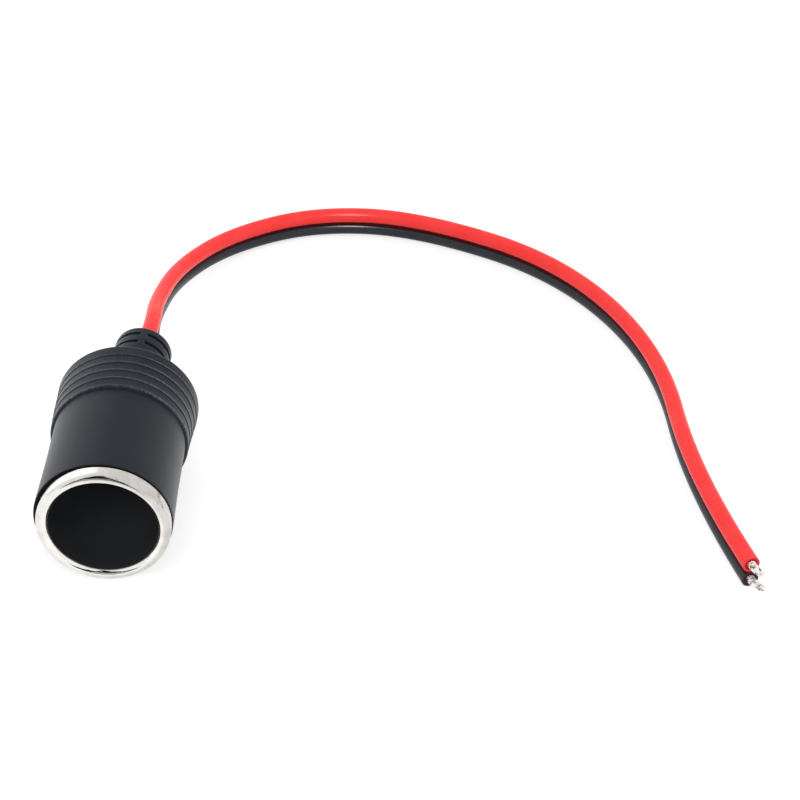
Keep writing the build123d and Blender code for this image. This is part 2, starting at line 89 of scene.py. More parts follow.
# %% A wire of the shader
class Wire:
    """One value of a node tree. Operators between wires and numbers add Math nodes."""

    def __init__(self, tree, socket=None):
        self.tree = tree
        self.socket = socket

    def node(self, kind, settings=None, inputs=None, output=0):
        """Add a node: first its settings, then a number or a wire for each of its sockets."""
        made = self.tree.nodes.new(kind)
        for name, value in (settings or {}).items():
            setattr(made, name, value)
        for key, value in (inputs or {}).items():
            if isinstance(value, Wire):
                self.tree.links.new(value.socket, made.inputs[key])
            else:
                made.inputs[key].default_value = value
        return Wire(self.tree, made.outputs[output])

    def maths(self, operation, *values):
        """One Math node."""
        return self.node("ShaderNodeMath", {"operation": operation}, dict(enumerate(values)))

    def __add__(self, other):
        return self.maths("ADD", self, other)

    def __sub__(self, other):
        return self.maths("SUBTRACT", self, other)

    def __rsub__(self, other):
        return self.maths("SUBTRACT", other, self)

    def __mul__(self, other):
        return self.maths("MULTIPLY", self, other)

    __radd__ = __add__
    __rmul__ = __mul__

    def step(self, low, high):
        """A smooth step: 0 below low, 1 above high."""
        return self.node(
            "ShaderNodeMapRange",
            {"interpolation_type": "SMOOTHSTEP"},
            {"Value": self, "From Min": low, "From Max": high},
        )

    def blend(self, first, second):
        """Two colours mixed by this value: the first at 0, the second at 1."""
        return self.node("ShaderNodeMix", {"data_type": "RGBA"}, {0: self, 6: first, 7: second}, output=2)

    def noise(self, scale, detail=2.0, roughness=0.5):
        """Noise over these coordinates, about 0.5 in the middle."""
        return self.node(
            "ShaderNodeTexNoise",
            inputs={"Vector": self, "Scale": scale, "Detail": detail, "Roughness": roughness},
        )

    def stretched(self, x, y, z):
        """The same coordinates with each axis multiplied by its own number."""
        return self.node("ShaderNodeMapping", inputs={"Vector": self, "Scale": (x, y, z)})

    def distance(self, point):
        """How far these coordinates are from a point."""
        settings = {"operation": "DISTANCE"}
        return self.node("ShaderNodeVectorMath", settings, {0: self, 1: point}, output="Value")

    def parts(self):
        """The three coordinates, one wire each."""
        split = self.node("ShaderNodeSeparateXYZ", inputs={0: self}).socket.node
        return [Wire(self.tree, output) for output in split.outputs]

    def relief(self, strength, depth):
        """A bumped normal from this height."""
        return self.node("ShaderNodeBump", inputs={"Strength": strength, "Distance": depth, "Height": self})


print("a wire knows", ", ".join(name for name in vars(Wire) if not name.startswith("_")))

# %% From a recipe to a material
def finish(name, recipe):
    """A material. Its recipe turns Object coordinates into numbers or wires for the shader's sockets."""
    material = bpy.data.materials.new(name)
    material.use_nodes = True
    tree = material.node_tree
    shader = tree.nodes["Principled BSDF"]
    place = Wire(tree).node("ShaderNodeTexCoord", output="Object")
    for socket, value in recipe(place).items():
        if isinstance(value, Wire):
            tree.links.new(value.socket, shader.inputs[socket])
        else:
            shader.inputs[socket].default_value = value
    return material


def grey(value, blue=0.0):
    """A grey that leans to blue by a share of its value."""
    return (value * (1 - blue / 2), value, value * (1 + blue), 1.0)


print("a middle grey is", grey(0.5))

# %% [markdown]
# ## Surfaces from grids
#
# Turned and swept pieces are grids of points: one parameter runs along the profile, the other round it.
# numpy works out all points at once, and a few helpers turn a grid into a closed mesh with outward faces.

# %% Grid to mesh
def ring_faces(rows, columns, wrap_rows):
    """Four-sided faces between neighbours of a grid that is closed round its columns."""
    row = np.arange(rows if wrap_rows else rows - 1)[:, None]
    column = np.arange(columns)[None, :]
    below = row * columns
    above = (row + 1) % rows * columns
    beside = (column + 1) % columns
    corners = [below + column, below + beside, above + beside, above + column]
    return np.stack(corners, axis=-1).reshape(-1, 4)


def signed_volume(points, faces):
    """Volume inside four-sided faces: the sum of the pyramids from the points' middle to each face."""
    corners = points[faces]
    a, b, c, d = np.moveaxis(corners - corners.mean(axis=(0, 1)), 1, 0)
    return np.sum(a * np.cross(b, c)) / 6 + np.sum(a * np.cross(c, d)) / 6


def tube_faces(points, rows, columns):
    """Faces of a tube, turned outwards: its sides, and one flat face over its first and its last row."""
    sides = ring_faces(rows, columns, wrap_rows=False)
    first = np.arange(columns)[None, :]
    last = first + (rows - 1) * columns
    if signed_volume(points, sides) < 0:
        return sides[:, ::-1], first, last[:, ::-1]
    return sides, first[:, ::-1], last


def add_piece(name, points, faces, material, sharp=40.0):
    """A mesh object from points and faces, smooth but for edges sharper than the angle given in degrees."""
    mesh = bpy.data.meshes.new(name)
    mesh.from_pydata(points.tolist(), [], faces)
    mesh.polygons.foreach_set("use_smooth", np.ones(len(faces), dtype=bool))
    mesh.set_sharp_from_angle(angle=math.radians(sharp))
    mesh.materials.append(material)
    piece = bpy.data.objects.new(name, mesh)
    bpy.context.scene.collection.objects.link(piece)
    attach(piece, "root")
    print(name, len(points), "points", len(faces), "faces")
    return piece


print("a closed grid of 3 by 4 has", len(ring_faces(3, 4, wrap_rows=True)), "faces")

# %% [markdown]
# ## Camera
#
# The view is a long lens, a little to the right of the body and about 35 degrees above the floor.
# A long lens keeps the mouth's circle and the barrel's sides close to parallel, as a product picture does.

# %% Set the camera
CAMERA_PLACE = (65.504 * MM, -361.351 * MM, 273.418 * MM)
CAMERA_PITCH = math.radians(34.66)
CAMERA_YAW = math.radians(1.416)
LENS = 99.0
SENSOR = 36.0

camera_data = bpy.data.cameras.new("camera")
camera_data.lens = LENS
camera_data.sensor_width = SENSOR
camera = bpy.data.objects.new("camera", camera_data)
camera.location = CAMERA_PLACE
camera.rotation_euler = (math.pi / 2 - CAMERA_PITCH, 0.0, CAMERA_YAW)
bpy.context.scene.collection.objects.link(camera)
bpy.context.scene.camera = camera
print("camera at", CAMERA_PLACE)

# %% [markdown]
# ## The twin lead
#
# The lead is two round cores side by side, red over black, in soft insulation. It comes straight out of the
# strain relief, sinks to the floor and lies there in one loose arc. Each core is a NURBS curve with the same
# control points as the CAD tube: the curve rounds every corner by itself, as a stiff lead does.

# %% The route of the lead
CORE_R = 1.75 * MM
CORE_OFFSET = 1.8 * MM
LEAD_START = 41.5 * MM
BEND_PLACE = 46.006 * MM
FIRST_RUN = (2.1 * MM, 20.0 * MM)
FLOOR_GAP = 0.02 * MM
ROLL = math.radians(8.5)
ROUTE = np.array([
    (0.6, 52.0, 7.7),
    (2.8, 75.0, 3.1),
    (13.3, 94.5, 0.6),
    (33.2, 106.3, 0.0),
    (58.5, 104.5, 0.0),
    (92.5, 84.5, 0.0),
    (113.0, 47.5, 0.0),
    (116.5, 0.5, 0.0),
    (125.25, -28.0, 0.0),
]) * MM
LEANS = np.radians([12.0, 14.0, 13.0, 11.0, 7.0, 3.5, 5.0, 4.0, 1.0])


def unit(vectors):
    """The same directions, each one long."""
    return vectors / np.linalg.norm(vectors, axis=-1, keepdims=True)


def core_route(side):
    """Control points of one core: half a spacing beside the pair's middle, square to it, leaning with it."""
    right = np.array([0.0, 0.0, FIRST_RUN[0]])
    along = np.array([LEAD_START, BEND_PLACE, BEND_PLACE + FIRST_RUN[1]])
    lying = ROUTE.copy()
    lying[:, 2] += FLOOR_GAP + CORE_R + CORE_OFFSET * np.cos(LEANS)
    middle = np.concatenate([on_body(right, along, np.zeros(len(along))), lying])
    lean = np.concatenate([np.full(len(along), ROLL), LEANS])[:, None]
    runs = unit(np.diff(middle, axis=0))
    after = np.concatenate([runs, runs[-1:]])
    forward = unit(np.concatenate([runs[:1], runs]) + after)
    across = unit(np.cross(forward, [0.0, 0.0, 1.0]))
    beside = across * np.sin(lean) + np.cross(across, forward) * np.cos(lean)
    square = np.sqrt(1 - np.sum(beside * after, axis=1, keepdims=True) ** 2)
    return middle + side * CORE_OFFSET * beside / square


print("each core has", len(core_route(1)), "control points")

# %% [markdown]
# The insulation is smooth soft plastic. One flat colour would look like paint, because a real lead is a
# little cloudy, and its sheen is uneven where it has rubbed. The cut end is a flat cap, and round the wires
# its middle is darkened with a painted shade, as if it were hollow.

# %% Insulation
HOLLOW_SHADE_SPAN = (1.2 * MM, 1.5 * MM)
RED = {
    "base": (0.95, 0.051, 0.049, 1),
    "pale": (0.96, 0.062, 0.06, 1),
    "dark": (0.74, 0.028, 0.028, 1),
    "shade": (0.42, 0.012, 0.014, 1),
    "gloss": 0.06,
}
BLACK = {
    "base": grey(0.033, 0.25),
    "pale": grey(0.04, 0.25),
    "dark": grey(0.022, 0.15),
    "shade": (0.06, 0.004, 0.008, 1),
    "gloss": 0.12,
}


def soft_insulation(base, pale, dark, shade, gloss, end):
    """Recipe for smooth soft plastic: cloudy colour, a worn sheen, and a painted shade round the cut end's
    middle.
    """
    def recipe(place):
        cloud = place.noise(180.0, 3.0)
        scuff = place.stretched(1.0, 1.0, 2.0).noise(900.0, 4.0, 0.6)
        # painted shade: the middle of the flat cut end is darkened in colour and made rougher
        painted_hollow_shade = 1 - place.distance(end).step(*HOLLOW_SHADE_SPAN)
        colour = cloud.step(0.35, 0.75).blend(base, pale)
        worn = (scuff.step(0.62, 0.8) * 0.2).blend(colour, dark)
        return {
            "Base Color": painted_hollow_shade.blend(worn, shade),
            "Roughness": 0.22 + 0.1 * scuff + 0.3 * painted_hollow_shade,
            "Specular IOR Level": gloss,
            "Normal": (cloud + 0.15 * scuff).relief(0.1, 0.0003),
        }
    return recipe


print("red", RED["base"][:3], "black", np.round(BLACK["base"][:3], 3))

# %% Make the two cores
CORE_STEPS = 24
CORE_ROUNDNESS = 10


def add_core(name, side, material):
    """A curve with a round section along the core's route."""
    route = core_route(side)
    data = bpy.data.curves.new(name, "CURVE")
    data.dimensions = "3D"
    spline = data.splines.new("NURBS")
    spline.points.add(len(route) - 1)
    spline.points.foreach_set("co", np.column_stack([route, np.ones(len(route))]).ravel())
    spline.order_u = 3
    spline.use_endpoint_u = True
    spline.resolution_u = CORE_STEPS
    data.bevel_depth = CORE_R
    data.bevel_resolution = CORE_ROUNDNESS
    data.use_fill_caps = True
    data.materials.append(material)
    core = bpy.data.objects.new(name, data)
    bpy.context.scene.collection.objects.link(core)
    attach(core, "root")
    return core


cores = {}
for colour, side, tones in (("red", 1, RED), ("black", -1, BLACK)):
    recipe = soft_insulation(**tones, end=tuple(core_route(side)[-1]))
    cores[colour] = add_core(colour + "_core_lead", side, finish(colour + "_insulation", recipe))
    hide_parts(colour + "_core")
    colour + "_insulation"
print("cores:", ", ".join(core.name for core in cores.values()))

# %% [markdown]
# A thin web of insulation joins the two cores, and from above it is a dark line under the red one: its colour
# is a painted shade of the crease between the cores. Its section is the gap between two circles: narrow in
# the middle and open towards both sides. That section is carried along the pair, half way between points read
# from the two smooth curves, so it bends exactly as they do.

# %% The web between the cores
WEB_HALF = 1.2 * MM
WEB_TUCK = 0.03 * MM
WEB_POINTS = 9


def read_line(core):
    """Points of a core's smooth curve, read from a copy that has no thickness."""
    bare = core.copy()
    bare.data = core.data.copy()
    bare.data.bevel_depth = 0.0
    line = bpy.data.meshes.new_from_object(bare)
    places = np.empty(len(line.vertices) * 3)
    line.vertices.foreach_get("co", places)
    bpy.data.meshes.remove(line)
    bpy.data.objects.remove(bare)
    return places.reshape(-1, 3)


def web_grid(upper, lower):
    """Rows along the pair. Across, the height is half the spacing less the circle's, plus a small tuck."""
    middle = (upper + lower) / 2
    upright = unit(upper - lower)
    sideways = unit(np.cross(np.gradient(middle, axis=0), upright))
    across = WEB_HALF * np.linspace(-1, 1, WEB_POINTS)
    height = CORE_OFFSET - np.sqrt(CORE_R**2 - across**2) + WEB_TUCK
    across = np.concatenate([across, across[::-1]])[None, :, None]
    height = np.concatenate([height, -height[::-1]])[None, :, None]
    return middle[:, None] + across * sideways[:, None] + height * upright[:, None]


def web_painted_shade(place):
    """Insulation deep between the cores: rough, and coloured near-black red as a painted shade of the crease.
    """
    cloud = place.noise(600.0, 3.0)
    return {
        # painted shade: near-black red stands for the shadow in the crease between the cores
        "Base Color": cloud.step(0.3, 0.7).blend((0.03, 0.0015, 0.0025, 1), (0.045, 0.002, 0.004, 1)),
        "Roughness": 0.6 + 0.2 * cloud,
        "Specular IOR Level": 0.1,
    }


grid = web_grid(read_line(cores["red"]), read_line(cores["black"]))
sides_and_ends = tube_faces(grid.reshape(-1, 3), *grid.shape[:2])
faces = [face for group in sides_and_ends for face in group.tolist()]
web = add_piece("lead_web", grid.reshape(-1, 3), faces, finish("web_painted_shade", web_painted_shade))

# %% [markdown]
# ## Stripped ends
#
# Each core ends in a few millimetres of bare, tinned strands, twisted together and bent to the right. One bar
# with a striped finish would look flat from its tip, so every wire is made: nineteen thin ones, in two rings
# round a middle one. The bundle's line is a straight run and a soft bend; each wire turns round that line as
# it goes, and the wires fan out a little at the tip.

# %% Line of a stripped end
BARE_STRAIGHT = 1.8 * MM
BARE_BENT = 2.5 * MM
BARE_TURNS = {1: np.array([0.8, -0.5, -0.4]), -1: np.array([0.74, -0.66, -0.04])}


def bare_line(end, along, turned_to, share):
    """Line of a stripped end: a curve that leaves along the core and bends to its turned direction."""
    corner = end + along * BARE_STRAIGHT
    tip = corner + unit(turned_to) * BARE_BENT
    share = share[..., None]
    return (1 - share) ** 2 * end + 2 * share * (1 - share) * corner + share**2 * tip


print("stripped runs of %.1f and %.1f mm" % (BARE_STRAIGHT / MM, BARE_BENT / MM))

# %% Twisted strands
STRAND_R = 0.19 * MM
STRAND_STEPS = 36
STRAND_SIDES = 10
STRAND_RINGS = ((6, 0.4 * MM), (12, 0.78 * MM))
STRAND_ROOT = 0.4 * MM
SHORTEST_STRAND = 0.84
UNEVEN_STEP = 7.0
DRAWN_IN = 0.45
TIP_TAPER = 12
TIP_R_SHARE = 0.35


def strand_skin(side, turns, fan):
    """Twisted strands. A wire's middle is the line plus its ring's radius, turned evenly along the way."""
    route = core_route(side)
    along = unit(route[-1] - route[-2])
    ring = np.concatenate([[0.0]] + [np.full(count, radius) for count, radius in STRAND_RINGS])
    start = np.concatenate([[0.0]] + [np.arange(count) / count for count, _ in STRAND_RINGS]) * 2 * np.pi
    uneven = 0.5 + 0.5 * np.sin(UNEVEN_STEP * np.arange(len(ring)) + side)
    way = np.linspace(0, 1, STRAND_STEPS)
    share = (1 - (1 - SHORTEST_STRAND) * uneven)[:, None] * way
    line = bare_line(route[-1] - along * STRAND_ROOT, along, BARE_TURNS[side], share)
    forward = unit(np.gradient(line, axis=1))
    side_way = unit(np.cross(forward, [0.0, 0.0, 1.0]))
    up_way = np.cross(side_way, forward)
    spread = (ring[:, None] * (1 - DRAWN_IN * share + fan * share**4))[..., None]
    turn = (start[:, None] + turns * 2 * np.pi * share)[..., None]
    middle = line + spread * np.cos(turn) * side_way + spread * np.sin(turn) * up_way
    round_way = np.linspace(0, 2 * np.pi, STRAND_SIDES, endpoint=False)[:, None]
    thin = np.minimum(1, TIP_TAPER * (1 - way) + TIP_R_SHARE)[None, :, None, None]
    spoke = np.cos(round_way) * side_way[:, :, None] + np.sin(round_way) * up_way[:, :, None]
    return middle[:, :, None] + STRAND_R * thin * spoke


def add_bare_end(name, skin, material):
    """All wires of one end in one mesh, with a flat face over both ends of each wire."""
    first_point = np.arange(len(skin))[:, None, None] * STRAND_STEPS * STRAND_SIDES
    faces = []
    for group in tube_faces(skin[0].reshape(-1, 3), STRAND_STEPS, STRAND_SIDES):
        faces += (first_point + group).reshape(-1, group.shape[1]).tolist()
    return add_piece(name, skin.reshape(-1, 3), faces, material, sharp=60.0)


print("a bundle of", len(strand_skin(1, 0.0, 0.0)), "wires")

# %% Make the stripped ends
def tinned_strand(place):
    """Tin over copper: pale bright metal, cloudy, a little rough, with streaks of painted shade between
    wires.
    """
    cloud = place.noise(1300.0, 2.0, 0.5)
    return {
        # painted shade: the darker streaks stand for shade and dark reflections between the thin wires
        "Base Color": cloud.step(0.47, 0.65).blend((0.92, 0.91, 0.89, 1), (0.24, 0.22, 0.2, 1)),
        "Metallic": 1.0,
        "Roughness": 0.16 + 0.2 * cloud,
        "Normal": cloud.relief(0.35, 0.0001),
    }


tinned_wire = finish("tinned_strands", tinned_strand)
for colour, side, turns, fan in (("red", 1, 0.7, 0.05), ("black", -1, 0.6, 0.1)):
    bare = add_bare_end(colour + "_bare_strands", strand_skin(side, turns, fan), tinned_wire)
    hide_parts(colour + "_bare_end")

# %% [markdown]
# The lead leaves the body on the bore's axis, at the body's full length from the mouth.

BODY_LENGTH = 59.0 * MM

lead_exit = tuple(on_body(0.0, BODY_LENGTH, 0.0))
print("lead leaves the body at", np.round(lead_exit, 4))

# %% [markdown]
# ## The metal shell
#
# The shell is a drawn nickel-plated tube. Its mouth is rolled outwards into a bright lip, and its inside is
# painted near-black, a painted shade for the dark deep in the bore. A Screw modifier could turn it, but on a
# grid the lip can also be moved a little to one side, as on the real one. One closed profile goes round the
# axis, with many points on the roll so that the lip's reflection is clean.

# %% Turned pieces
def arc(middle, radius, start, end, steps):
    """Points of an arc in the (radius, along) plane: middle plus radius times cosine and sine."""
    angle = np.radians(np.linspace(start, end, steps))
    return np.stack([middle[0] + radius * np.cos(angle), middle[1] + radius * np.sin(angle)], axis=-1)


def turned(profile, columns):
    """Grid of a turned piece: each (radius, along) of the profile goes round the body's axis."""
    turn = np.linspace(0, 2 * np.pi, columns, endpoint=False)
    radius = profile[:, :1]
    along = np.broadcast_to(profile[:, 1:], (len(profile), columns))
    return on_body(radius * np.cos(turn), along, radius * np.sin(turn))


def add_closed_grid(name, grid, material, sharp=40.0):
    """A piece whose grid is closed both ways, like the skin of a ring, with its faces turned outwards."""
    points = grid.reshape(-1, 3)
    faces = ring_faces(grid.shape[0], grid.shape[1], wrap_rows=True)
    if signed_volume(points, faces) < 0:
        faces = faces[:, ::-1]
    return add_piece(name, points, faces.tolist(), material, sharp)


print("a quarter arc in 3 steps:", np.round(arc((0.0, 0.0), 1.0, 0, 90, 3), 2).tolist())

# %% Profile of the shell
SHEET = 0.5 * MM
LIP_MIDDLE = (11.95 * MM, 0.555 * MM)
LIP_INNER = 1.27 * MM
LIP_OUTER = 1.12 * MM
LIP_END = 2.1 * MM
BORE_FRONT = 2.2 * LIP_ROLL_R
SEAT_STEP = 0.6 * MM
SEAT_SLOPE = math.radians(45.0)
SEAT_CORNER_R = 0.5 * MM
BARREL_REAR = 34.0 * MM
SHELL_HOLE_R = 3.5 * MM
LIP_STEPS = 49
LIP_BACK_STEPS = 17
EDGE_STEPS = 9


def lip_roll(thinner, start, end, steps):
    """Half an oval in the (radius, along) plane, less a thickness: a quarter circle inside, and outside a
    quarter oval that reaches a little less far."""
    angle = np.radians(np.linspace(start, end, steps))
    reach = np.where(np.cos(angle) < 0, LIP_INNER, LIP_OUTER) - thinner
    return np.stack([LIP_MIDDLE[0] + reach * np.cos(angle),
                     LIP_MIDDLE[1] + (LIP_INNER - thinner) * np.sin(angle)], axis=-1)


lip_r = LIP_MIDDLE[0] + LIP_OUTER
tube_r = BORE_R + SHEET
shell_floor = BARREL_REAR - SHEET
seat_start = LIP_ROLL_R + BORE_LENGTH
seat_end = seat_start + SEAT_STEP
seat_r = BORE_R - SEAT_STEP
seat_shift = SHEET * math.tan(SEAT_SLOPE / 2)
seat_corner = (seat_r - SEAT_CORNER_R, shell_floor - SEAT_CORNER_R)
shell_profile = np.concatenate([
    lip_roll(0.0, 180, 360, LIP_STEPS),
    [(lip_r, LIP_END), (lip_r - SHEET, LIP_END)],
    lip_roll(SHEET, 360, 180, LIP_BACK_STEPS),
    [(tube_r, LIP_END), (tube_r, seat_start + seat_shift), (seat_r + SHEET, seat_end + seat_shift)],
    arc(seat_corner, SEAT_CORNER_R + SHEET, 0, 90, EDGE_STEPS),
    [(SHELL_HOLE_R, BARREL_REAR), (SHELL_HOLE_R, shell_floor)],
    arc(seat_corner, SEAT_CORNER_R, 90, 0, EDGE_STEPS),
    [(seat_r, seat_end), (BORE_R, seat_start), (BORE_R, BORE_FRONT)],
])
print("shell profile of", len(shell_profile), "points, lip radius %.2f mm" % (lip_r / MM))

# %% [markdown]
# The plate is bright on the roll. The bore behind it is painted near-black as shade, lighter deeper in to
# make up for the light that falls off there. Two materials on one mesh would meet in a hard seam, so one
# finish turns from bright to dull and dark with the distance from the axis. Its sums are made in the body's
# own coordinates, so that they stay on the piece.

# %% Nickel plate
LIP_ASIDE = 0.28 * MM
INSIDE_EDGE = (10.74 * MM, 10.89 * MM)
INSIDE_LEAN = 0.2 * MM
INSIDE_START = (0.5 * MM, 1.0 * MM)
OUTSIDE_EDGE = (11.2 * MM, 12.2 * MM)
SHADE_LEFT_TO_RIGHT = (-8 * MM, 8 * MM)
BORE_SHADE_DEPTH = (2 * MM, 24 * MM)


def body_place(place):
    """Object coordinates turned into the body's own: right, along the bore, above its axis."""
    return place.node(
        "ShaderNodeMapping",
        {"vector_type": "TEXTURE"},
        {"Vector": place, "Location": tuple(MOUTH), "Rotation": (TILT, 0.0, 0.0)},
    )


def nickel_plate(place):
    """Warm nickel: rougher on the roll's outer side, painted darker there as shade, most to the right; bright
    on its inner side, with specks. In the bore a near-black painted shade, lighter deeper in."""
    body = body_place(place)
    radius = body.stretched(1.0, 0.0, 1.0).distance((LIP_ASIDE, 0.0, 0.0))
    right, depth, _ = body.parts()
    inside = 1 - (radius - INSIDE_LEAN * depth.step(*INSIDE_START)).step(*INSIDE_EDGE)
    # painted shade: the roll's outer side is darker in colour, most to the right, and also rougher
    outer_rough_and_shade = radius.step(*OUTSIDE_EDGE) * (0.4 + 0.6 * right.step(*SHADE_LEFT_TO_RIGHT))
    cloud = body.noise(420.0, 3.0, 0.55)
    speck = body.noise(1500.0, 2.0, 0.6).step(0.66, 0.74)
    rub = body.stretched(1.0, 6.0, 1.0).noise(700.0, 3.0)
    polished = cloud.step(0.3, 0.8).blend((0.9, 0.88, 0.84, 1), (0.8, 0.775, 0.73, 1))
    outer_painted_shade = cloud.step(0.3, 0.8).blend((0.64, 0.62, 0.585, 1), (0.5, 0.485, 0.455, 1))
    plate = (speck * 0.55).blend(outer_rough_and_shade.blend(polished, outer_painted_shade), (0.25, 0.23, 0.2, 1))
    # painted shade: the bore is near-black, lighter deeper in where less light would reach
    bore_painted_shade = depth.step(*BORE_SHADE_DEPTH).blend(grey(0.028, 0.1), grey(0.075, 0.1))
    return {
        "Base Color": inside.blend(plate, bore_painted_shade),
        "Metallic": 1 - inside,
        "Roughness": 0.04 + 0.05 * rub + 0.1 * outer_rough_and_shade + 0.15 * speck + 0.45 * inside,
        "Specular IOR Level": 0.05,
        "Normal": (cloud + 0.4 * rub - 0.6 * speck).relief(0.16, 0.0002),
    }


nickel = finish("nickel_plate", nickel_plate)
print(nickel.name, len(nickel.node_tree.nodes), "nodes")

# %% Make the shell
SHELL_COLUMNS = 256
LIP_FADE = 0.2 * MM
LIP_REACH = 2.5 * MM

shell_grid = turned(shell_profile, SHELL_COLUMNS)
beyond_tube = (shell_profile[:, 0] - tube_r) / LIP_FADE
on_lip = np.clip(np.maximum(beyond_tube, 1 - shell_profile[:, 1] / LIP_REACH), 0, 1)
shell_grid += LIP_ASIDE * on_lip[:, None, None] * RIGHT
shell = add_closed_grid("shell_metal", shell_grid, nickel, sharp=50.0)
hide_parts("socket_shell")

# %% [markdown]
# ## The front barrel
#
# A plain moulded sleeve with a softened front edge, a little wider from side to side at its mouth, where the
# shell is pressed in. Its finish is fine spark texture: almost black, bluish, half matt, so that its sides
# glow where they turn away from the eye. A grain drawn on the mesh would need millions of faces, so the grain
# is a bump.

# %% Profile of the barrel
SHELL_CLEARANCE = 0.1 * MM
BARREL_WALL = 2.2 * MM
BARREL_EDGE_R = 0.3 * MM
BARREL_ROWS = 24
LIP_GAP = 0.2 * MM
SPIGOT_WALL = 1.2 * MM
COLLAR_FRONT = 26.9 * MM

barrel_inner = tube_r + SHELL_CLEARANCE
barrel_r = barrel_inner + BARREL_WALL
spigot_r = barrel_inner + SPIGOT_WALL
barrel_front = LIP_END + LIP_GAP
edge_middle = (barrel_r - BARREL_EDGE_R, barrel_front + BARREL_EDGE_R)
side_along = np.linspace(edge_middle[1], COLLAR_FRONT, BARREL_ROWS + 1)[1:]
barrel_profile = np.concatenate([
    [(barrel_inner, barrel_front)],
    arc(edge_middle, BARREL_EDGE_R, -90, 0, EDGE_STEPS),
    np.stack([np.full(BARREL_ROWS, barrel_r), side_along], axis=-1),
    [(spigot_r, COLLAR_FRONT), (spigot_r, BARREL_REAR), (barrel_inner, BARREL_REAR)],
])
print("barrel radius %.2f mm" % (barrel_r / MM))

# %% Make the barrel
MOUTH_OVAL = 0.22 * MM
OVAL_REACH = 14 * MM
FRONT_SHADE = (barrel_front + 0.15 * MM, barrel_front + 0.4 * MM)
COOL_SHINE = (0.84, 0.93, 1.0, 1.0)


def smooth_step(value, low, high):
    """0 below low, 1 above high, and a smooth S between them."""
    share = np.clip((value - low) / (high - low), 0, 1)
    return share * share * (3 - 2 * share)


def moulded_plastic(place):
    """Dark blue-grey moulded plastic: fine spark texture, soft blotches, a few rubbed streaks, and a painted
    shade along the front edge, in the gap behind the lip.
    """
    body = body_place(place)
    grain = body.noise(5200.0, 2.0, 0.6)
    blotch = body.noise(130.0, 3.0)
    streak = body.stretched(9.0, 0.6, 9.0).noise(160.0, 3.0, 0.6)
    # painted shade: the front edge is nearly black, for the shadow in the gap behind the lip
    front_shade = 1 - body.parts()[1].step(*FRONT_SHADE)
    colour = blotch.step(0.3, 0.75).blend(grey(0.0055, 0.8), grey(0.0085, 0.8))
    worn = (streak.step(0.6, 0.85) * 0.5).blend(colour, grey(0.018, 0.4))
    return {
        "Base Color": front_shade.blend(worn, grey(0.001)),
        "Roughness": 0.42 + 0.1 * grain + 0.06 * blotch + 0.3 * front_shade,
        "Specular IOR Level": 0.18,
        "Specular Tint": COOL_SHINE,
        "Sheen Weight": 0.4,
        "Sheen Roughness": 0.35,
        "Normal": (grain + 0.3 * blotch).relief(0.14, 0.0001),
    }


barrel_plastic = finish("barrel_plastic", moulded_plastic)
barrel_grid = turned(barrel_profile, SHELL_COLUMNS)
widening = MOUTH_OVAL * (1 - smooth_step(barrel_profile[:, 1], barrel_front, barrel_front + OVAL_REACH))
sideways = np.cos(2 * np.pi * np.arange(SHELL_COLUMNS) / SHELL_COLUMNS)
barrel_grid += np.multiply.outer(widening, sideways)[..., None] * RIGHT
barrel = add_closed_grid("barrel_sleeve", barrel_grid, barrel_plastic)
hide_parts("front_barrel")

# %% [markdown]
# ## The rear boot
#
# One soft moulding: a coned collar with raised rings, a shoulder, and a strain relief that bends with the
# lead. Cutting the slots with Booleans would leave ragged faces, so one grid does it all. Its rows run along
# the outside, round the end, back through the hole for the lead and through the room for the terminals to the
# front again. Slots are rows where the radius drops to the slot's floor, except near the web above and below.

# %% Middle line of the boot
ARC_SHARE = 0.45

# the middle line bends once: an even arc as large as its two runs allow
arc_reach = ARC_SHARE * (BEND_PLACE - LEAD_START)
bend_turn = math.atan2(FIRST_RUN[0], FIRST_RUN[1])
bend_radius = arc_reach / math.tan(bend_turn / 2)
bend_start = BEND_PLACE - arc_reach
last_run = (BODY_LENGTH - BEND_PLACE) / math.cos(bend_turn) - arc_reach
strain_end = bend_start + bend_radius * bend_turn + last_run


def along_middle(length):
    """Middle line of the boot at each length: straight, then round the arc, then straight again."""
    turn = np.clip((length - bend_start) / bend_radius, 0, bend_turn)
    beyond = np.maximum(length - bend_start - bend_radius * bend_turn, 0)
    right = bend_radius * (1 - np.cos(turn)) + beyond * np.sin(turn)
    along = np.minimum(length, bend_start) + bend_radius * np.sin(turn) + beyond * np.cos(turn)
    return right, along, turn


print("boot bends %.2f degrees, ends at %.2f mm" % (math.degrees(bend_turn), strain_end / MM))

# %% Profile of the collar and the shoulder
COLLAR_BACK = 39.9 * MM
COLLAR_STEP = 0.65 * MM
COLLAR_FLARE = 0.6 * MM
COLLAR_REAR_R = 0.4 * MM
FRONT_RAMP = 0.4 * MM
RIDGE_COUNT = 5
RIDGE_PITCH = 2.5 * MM
RIDGE_WIDTH = 0.7 * MM
RIDGE_CREST = 0.2 * MM
RIDGE_DEPTH = 0.14 * MM
RIDGE_SIDE_ROWS = 7
VALLEY_PLACES = np.linspace(0.5, 0.9, 3)
COLLAR_BACK_ROWS = 6
SHOULDER_LAND = 0.8 * MM
SHOULDER_LEDGE = 1.0 * MM
STRAIN_START = 44.4 * MM
STRAIN_WALL = 2.5 * MM

